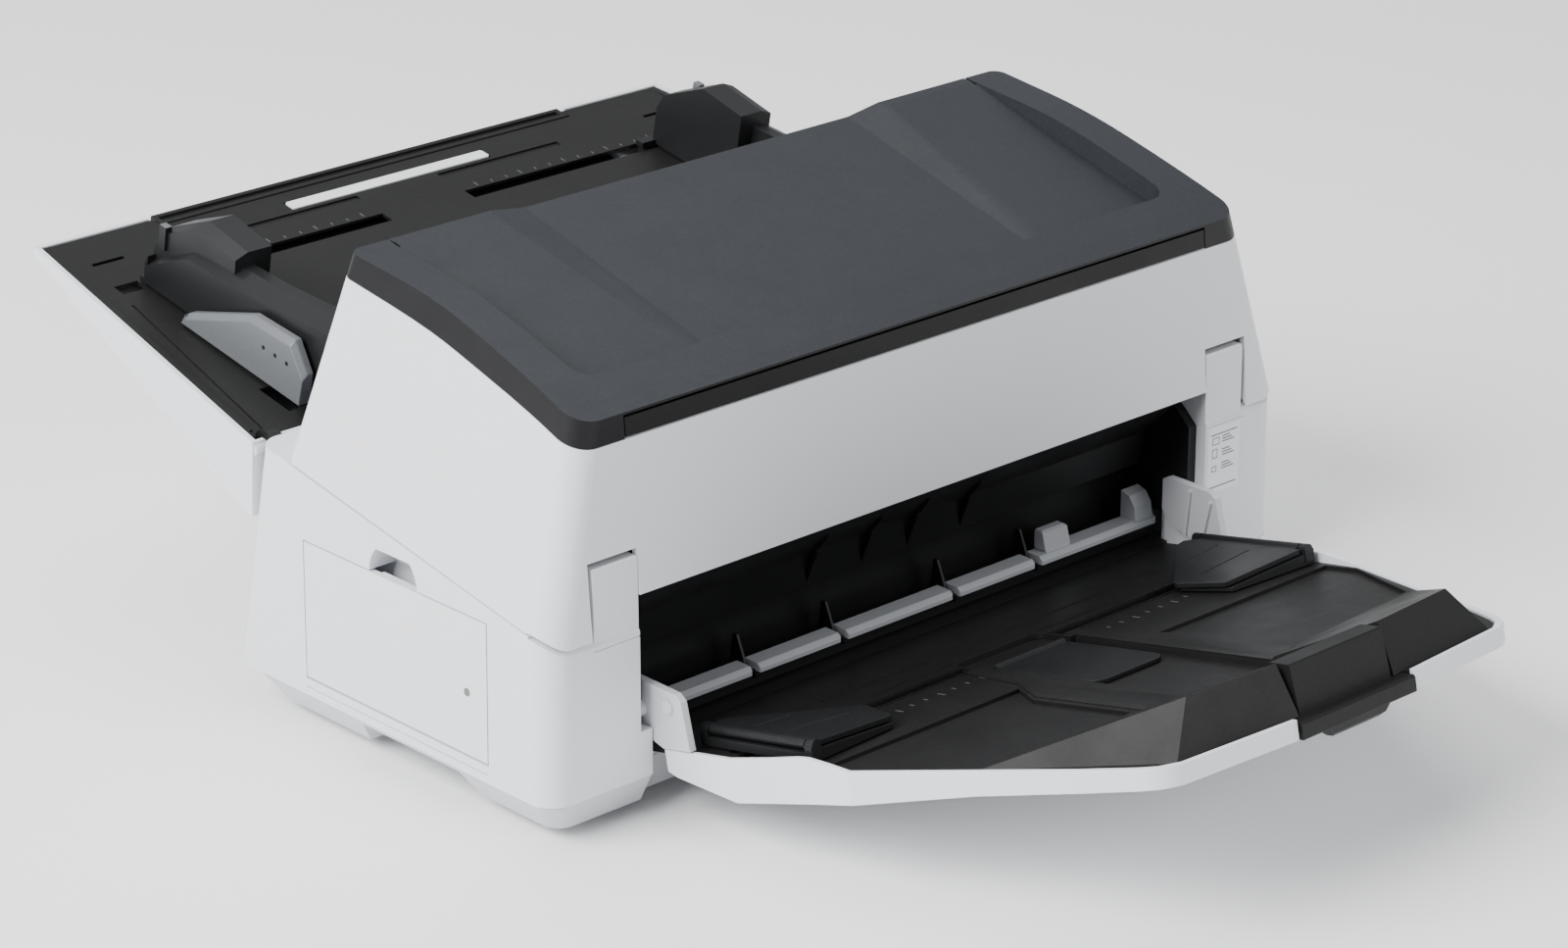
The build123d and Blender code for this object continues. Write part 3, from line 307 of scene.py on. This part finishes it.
EASED = {       # bevel width in mm
    "base_shell": 0.6, "bottom_pan": 0.6, "upper_shell": 0.6, "top_cover": 0.9, "release_bar": 0.5,
    "hopper_shell": 0.5, "hopper_tray": 0.35, "hopper_extension": 0.4, "guide_left": 0.5, "guide_right": 0.5,
    "paddle_left": 0.4, "paddle_right": 0.4, "stacker_shell": 0.5, "stacker_tray": 0.35, "bracket_left": 0.3,
    "bracket_right": 0.3, "slider_left": 0.3, "slider_right": 0.3, "wing_left": 0.3, "wing_right": 0.3,
    "stacker_extension": 0.6, "stopper_plate": 0.25, "door_left": 0.3, "door_right": 0.3, "eject_strip": 0.35,
    "hopper_strip": 0.1,
}
# the cover's shallow relief is eased as well; on the housing and casing only sharper edges are
OWN_ANGLE = {"top_cover": 15, "base_shell": 44, "bottom_pan": 44}
SHAPES = {node: refine(node, mm * MM, OWN_ANGLE.get(node, EDGE_ANGLE)) for node, mm in EASED.items()}


def second_tone(node, slot, wanted):
    """Give the faces picked by wanted(centre in working mm, normal) a second material."""
    mesh = SHAPES[node].data
    mesh.materials.append(MATERIALS[slot])
    for poly in mesh.polygons:
        c = poly.center
        if wanted(Vector((c.x / MM, (c.y - SHIFT_Y) / MM, c.z / MM)), poly.normal):
            poly.material_index = 1


def on_rear_deck(c, normal):
    """The housing's top at its rear corners, and the two ears there that carry the hopper."""
    deck = c.y > 163 and abs(c.x) > 163 and c.z > 104 and normal.z > 0.4
    ear = c.y > 176 and 198 < abs(c.x) < 206.5 and 106 < c.z < 126
    return deck or ear


def on_guide_tab(c, _normal):
    """The small grey tab that stands up near the rear of each hopper side guide."""
    height = (c.z - 115.6) * math.cos(PATH_ANGLE) - (c.y - HOPPER_Y) * math.sin(PATH_ANGLE)
    return height > 27.6 and 318 < c.y < 330 and 155.8 < abs(c.x) < 159.8


def on_shaded_edge_band(c, normal):
    """The cover's steep outer faces: front, sides and rear; they get a darker tone of the charcoal as painted
    shade.
    """
    return normal.z < 0.62 and (c.y < 14 or abs(c.x) > 178 or c.y > 148)


second_tone("base_shell", "tray_black", on_rear_deck)
second_tone("eject_strip", "guide_black", lambda c, _normal: c.z < 33.0)    # the bar under the grey pieces
second_tone("guide_left", "paddle_silver", on_guide_tab)
second_tone("guide_right", "paddle_silver", on_guide_tab)
# painted shade: the cover's steep outer faces, picked by their normals, get the darker cover_edge tone
second_tone("top_cover", "cover_edge", on_shaded_edge_band)


def patch(name, matrix, outlines, lift, slot, body):
    """Thin raised marks: each outline is a polygon (x, y) in mm on the plane of matrix, lift mm thick."""
    bm = bmesh.new()
    for outline in outlines:
        low = [bm.verts.new((x * MM, y * MM, 0)) for x, y in outline]
        high = [bm.verts.new((x * MM, y * MM, lift * MM)) for x, y in outline]
        bm.faces.new(high)
        bm.faces.new(low[::-1])
        for i in range(len(outline)):
            j = (i + 1) % len(outline)
            bm.faces.new((low[i], low[j], high[j], high[i]))
    bmesh.ops.recalc_face_normals(bm, faces=bm.faces)
    bm.transform(matrix)
    mesh = bpy.data.meshes.new(name)
    bm.to_mesh(mesh)
    bm.free()
    mesh.materials.append(MATERIALS[slot])
    obj = bpy.data.objects.new(name, mesh)
    SCENE.collection.objects.link(obj)
    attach(obj, body)


def bar(x0, x1, y0, y1):
    return [(x0, y0), (x1, y0), (x1, y1), (x0, y1)]


def disc(cx, cy, r, count=14):
    turns = [2 * math.pi * i / count for i in range(count)]
    return [(cx + r * math.cos(t), cy + r * math.sin(t)) for t in turns]


def mirrored(outlines):
    return outlines + [[(-x, y) for x, y in o[::-1]] for o in outlines]


def tick_row(xs, half_width, short, long, base, way):
    """Ticks across a tray, every third one long, from base in the direction way (1 or -1)."""
    row = []
    for i, x in enumerate(xs):
        y = base + way * (long if i % 3 == 0 else short)
        row.append(bar(x - half_width, x + half_width, min(base, y), max(base, y)))
    return mirrored(row)


def frame_outline(x, y, w, h, line=0.35):
    """Four bars round a page of w by h."""
    return [bar(x, x + w, y, y + line), bar(x, x + w, y + h - line, y + h),
            bar(x, x + line, y, y + h), bar(x - line + w, x + w, y, y + h)]


# trays: size ticks beside the slots of the hopper guides and of the stacker sliders
MARK_LIFT = 0.06
TRAY_TOP = -1.0          # stacker tray surface in its own frame, mm
patch("hopper_ticks", hopper_matrix(), tick_row(range(34, 148, 9), 0.25, 2.0, 3.4, 147.6, 1), MARK_LIFT,
      "tick_grey", "hopper")
patch("stacker_ticks", stacker_matrix() @ Matrix.Translation((0, 0, TRAY_TOP * MM)),
      tick_row(range(34, 150, 8), 0.3, 2.6, 4.6, -62.5, -1), MARK_LIFT, "tick_grey", "stacker")

# paddles: three small grip dots near the front edge
for side, name in ((-1, "paddle_left"), (1, "paddle_right")):
    face = Matrix(((0, 0, side, side * PADDLE_FACE_X * MM), (side, 0, 0, 0), (0, 1, 0, 0), (0, 0, 0, 1)))
    dots = [disc(side * v, 17, 1.0) for v in (44.7, 36.5, 28.3)]
    patch(name + "_dots", hopper_matrix() @ face, dots, 0.12, "guide_black", name + "_body")

# pillar label: a generic size table of bars and page outlines
marks = [bar(-8.6, 8.6, 12.2, 12.7), bar(-8.6, 8.6, -12.9, -12.4)]
for y, page_w, page_h in ((7.6, 4.6, 3.4), (1.2, 3.4, 4.4), (-5.2, 3.0, 2.6)):
    marks += frame_outline(-7.6, y, page_w, page_h)
    marks += [bar(-1.2, 6.6 - 1.4 * i, y + 0.4 + i * 1.3, y + 0.9 + i * 1.3) for i in range(3)]
patch("size_label_marks", Matrix.Translation(at(*LABEL_CENTRE)) @ Matrix.Rotation(math.radians(90), 4, "X"),
      marks, 0.05, "ink_dark", "base")


# ------------------------------------------------------------------ floor, light, camera
def floor(size):
    mesh = bpy.data.meshes.new("floor")
    corners = [(-size, -size, 0), (size, -size, 0), (size, size, 0), (-size, size, 0)]
    mesh.from_pydata(corners, [], [(0, 1, 2, 3)])
    obj = bpy.data.objects.new("floor", mesh)
    SCENE.collection.objects.link(obj)
    mat = bpy.data.materials.new("floor_white")
    mat.use_nodes = True
    shader = mat.node_tree.nodes["Principled BSDF"]
    shader.inputs["Base Color"].default_value = (0.93, 0.93, 0.93, 1)
    shader.inputs["Roughness"].default_value = 0.85
    mesh.materials.append(mat)


def area_light(name, place, size, power):
    """A soft box that faces the middle of the scanner."""
    data = bpy.data.lights.new(name, "AREA")
    data.shape = "RECTANGLE"
    data.size, data.size_y = size
    data.energy = power
    obj = bpy.data.objects.new(name, data)
    obj.location = place
    obj.rotation_mode = "QUATERNION"
    obj.rotation_quaternion = (Vector(LIGHT_AIM) - Vector(place)).to_track_quat("-Z", "Y")
    SCENE.collection.objects.link(obj)


LIGHT_AIM = (0, 0, 0.1)
floor(6.0)
world = bpy.data.worlds.new("studio")
world.use_nodes = True
sky = world.node_tree.nodes["Background"]
sky.inputs["Color"].default_value = (0.95, 0.97, 1.0, 1)
sky.inputs["Strength"].default_value = 0.5
SCENE.world = world
area_light("key_left", (-2.2, 0.3, 1.9), (2.4, 1.6), 165)
area_light("overhead", (0.2, 0.6, 2.6), (2.6, 2.2), 44)
area_light("front_fill", (1.2, -2.6, 1.3), (2.0, 1.4), 27)

CAMERA_PLACE = (-1274.462, -1275.417, 821.753)      # mm from the working origin
CAMERA_YAW, CAMERA_PITCH = 0.7499, 0.3786           # radians
camera_data = bpy.data.cameras.new("camera")
camera_data.sensor_width = 36.0
camera_data.lens = 106.125
camera = bpy.data.objects.new("camera", camera_data)
camera.location = at(*CAMERA_PLACE)
camera.rotation_euler = (math.pi / 2 - CAMERA_PITCH, 0, -CAMERA_YAW)
SCENE.collection.objects.link(camera)
SCENE.camera = camera
